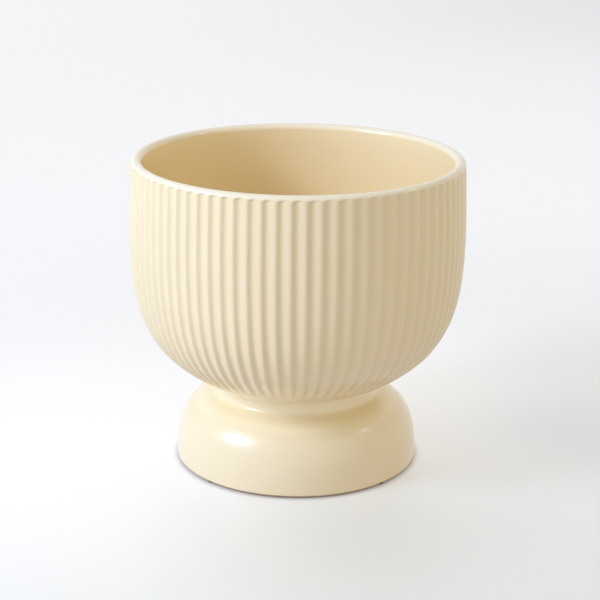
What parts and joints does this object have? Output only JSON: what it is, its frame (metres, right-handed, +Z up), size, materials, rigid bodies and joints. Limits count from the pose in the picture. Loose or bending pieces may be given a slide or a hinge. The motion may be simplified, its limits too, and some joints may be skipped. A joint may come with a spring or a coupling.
{
  "type": "jardiniere on stand",
  "caption": "Fluted, deep round plant bowl with a smooth lip, seated in the neck of a low, round, hollow ceramic stand.",
  "frame": {"origin": "on the floor, at the centre of the stand", "axes": "+Z up along the axis of the bowl and the stand; -Y towards the viewer of the picture, +X to the right"},
  "size_m": [0.3022, 0.3024, 0.282],
  "materials": {
    "stand_glaze": "glossy cream glaze, smooth",
    "bowl_glaze": "satin to glossy cream glaze over hand-cut flutes",
    "seat_rubber": "matt, translucent silicone",
    "plug_rubber": "matt moulded rubber",
    "pad_rubber": "matt moulded rubber"
  },
  "bodies": {
    "stand": {"stand": "stand_glaze", "floor_pad_1": "pad_rubber", "floor_pad_2": "pad_rubber", "floor_pad_3": "pad_rubber", "floor_pad_4": "pad_rubber"},
    "seat": {"seat_ring": "seat_rubber"},
    "bowl": {"bowl": "bowl_glaze"},
    "plug": {"drain_plug": "plug_rubber"}
  },
  "joints": [
    {"name": "bowl_turn", "type": "hinge", "parent": "stand", "child": "seat", "pos_m": [0, 0, 0.0618], "axis": [0, 0, 1], "continuous": true},
    {"name": "bowl_lift", "type": "slide", "parent": "seat", "child": "bowl", "axis": [0, 0, 1], "range_m": [0, 0.12]},
    {"name": "plug_pull", "type": "slide", "parent": "bowl", "child": "plug", "axis": [0, 0, 1], "range_m": [0, 0.22]}
  ]
}
